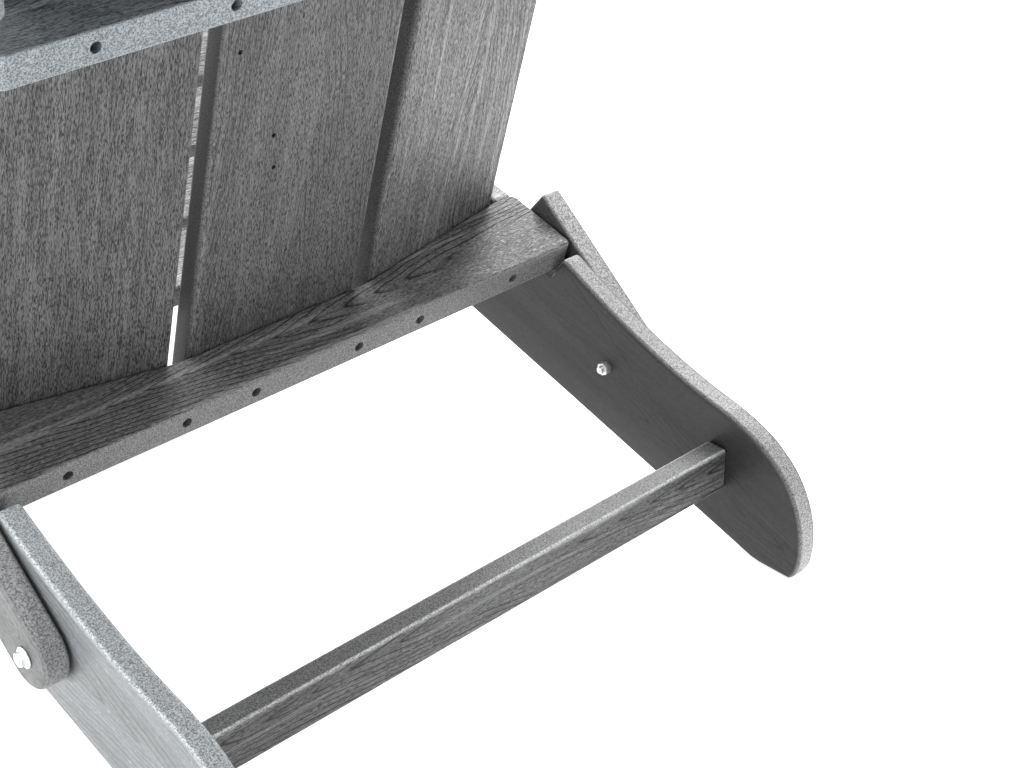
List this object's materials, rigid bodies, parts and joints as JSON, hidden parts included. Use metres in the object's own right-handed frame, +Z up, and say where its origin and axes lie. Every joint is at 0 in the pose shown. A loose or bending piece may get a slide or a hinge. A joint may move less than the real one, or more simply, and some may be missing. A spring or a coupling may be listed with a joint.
{
  "type": "adirondack_chair",
  "caption": "Folding adirondack chair of grey wood-grained poly lumber: slatted seat, wide arms and an arched wrap-around back that folds down onto the seat.",
  "frame": {"origin": "On the ground under the middle of the chair, halfway between the front edge of the seat and the rear of the feet", "axes": "+X to the sitter's left, +Y to the rear, +Z up"},
  "size_m": [0.786, 0.86, 0.9383],
  "materials": {
    "grey_poly_lumber": "embossed wood grain, satin",
    "zinc_steel": "bright zinc plated"
  },
  "bodies": {
    "frame": {"stringer_left": "grey_poly_lumber", "stringer_right": "grey_poly_lumber", "rear_stretcher": "grey_poly_lumber", "front_apron": "grey_poly_lumber", "seat_slat_1": "grey_poly_lumber", "seat_slat_2": "grey_poly_lumber", "seat_slat_3": "grey_poly_lumber", "seat_slat_4": "grey_poly_lumber", "seat_slat_5": "grey_poly_lumber", "seat_slat_6": "grey_poly_lumber", "seat_slat_7": "grey_poly_lumber", "seat_slat_8": "grey_poly_lumber", "seat_screws": "zinc_steel", "stretcher_screws": "zinc_steel", "apron_screws": "zinc_steel", "link_pivot_bolts": "zinc_steel", "link_pivot_nuts": "zinc_steel", "link_pivot_washers": "zinc_steel", "leg_pivot_bolts": "zinc_steel", "leg_pivot_nuts": "zinc_steel", "leg_pivot_washers": "zinc_steel"},
    "left_link": {"swing_link_left": "grey_poly_lumber"},
    "right_link": {"swing_link_right": "grey_poly_lumber"},
    "back": {"lower_back_rail": "grey_poly_lumber", "upper_back_rail": "grey_poly_lumber", "back_slat_left": "grey_poly_lumber", "back_slat_centre": "grey_poly_lumber", "back_slat_right": "grey_poly_lumber", "lower_slat_screws": "zinc_steel", "upper_slat_screws": "zinc_steel", "rail_pivot_bolts": "zinc_steel", "rail_pivot_washers": "zinc_steel", "arm_rear_bolts": "zinc_steel", "arm_rear_sleeves": "zinc_steel", "arm_rear_washers": "zinc_steel"},
    "left_arm": {"arm_left": "grey_poly_lumber", "arm_support_left": "grey_poly_lumber", "arm_screws_left": "zinc_steel", "arm_front_bolt_left": "zinc_steel"},
    "right_arm": {"arm_right": "grey_poly_lumber", "arm_support_right": "grey_poly_lumber", "arm_screws_right": "zinc_steel", "arm_front_bolt_right": "zinc_steel"},
    "left_leg": {"front_leg_left": "grey_poly_lumber", "leg_top_nut_left": "zinc_steel"},
    "right_leg": {"front_leg_right": "grey_poly_lumber", "leg_top_nut_right": "zinc_steel"}
  },
  "joints": [
    {"name": "left_link_swing", "type": "hinge", "parent": "frame", "child": "left_link", "pos_m": [0.289, 0.2178, 0.11], "axis": [1, 0, 0], "range_deg": [-50, 0]},
    {"name": "right_link_swing", "type": "hinge", "parent": "frame", "child": "right_link", "pos_m": [-0.289, 0.2178, 0.11], "axis": [1, 0, 0], "range_deg": [-50.5, 0]},
    {"name": "back_fold", "type": "hinge", "parent": "left_link", "child": "back", "pos_m": [0.289, 0.1168, 0.1938], "axis": [1, 0, 0], "range_deg": [0, 131]},
    {"name": "left_arm_turn", "type": "hinge", "parent": "back", "child": "left_arm", "pos_m": [0.3105, 0.21465, 0.53505], "axis": [1, 0, 0], "range_deg": [-74.5, 0]},
    {"name": "right_arm_turn", "type": "hinge", "parent": "back", "child": "right_arm", "pos_m": [-0.3105, 0.21465, 0.53505], "axis": [1, 0, 0], "range_deg": [-74.5, 0]},
    {"name": "left_leg_fold", "type": "hinge", "parent": "frame", "child": "left_leg", "pos_m": [0.289, -0.368, 0.286], "axis": [1, 0, 0], "range_deg": [0, 92.5]},
    {"name": "right_leg_fold", "type": "hinge", "parent": "frame", "child": "right_leg", "pos_m": [-0.289, -0.368, 0.286], "axis": [1, 0, 0], "range_deg": [0, 92.5]}
  ],
  "couplings": [
    {"joint": "back_fold", "follows": "left_link_swing", "ratio": -2.6},
    {"joint": "right_link_swing", "follows": "left_link_swing", "ratio": 1},
    {"joint": "left_arm_turn", "follows": "left_link_swing", "ratio": 1.4746},
    {"joint": "right_arm_turn", "follows": "left_link_swing", "ratio": 1.4746},
    {"joint": "left_leg_fold", "follows": "left_link_swing", "ratio": -1.8322},
    {"joint": "right_leg_fold", "follows": "left_link_swing", "ratio": -1.8322}
  ]
}
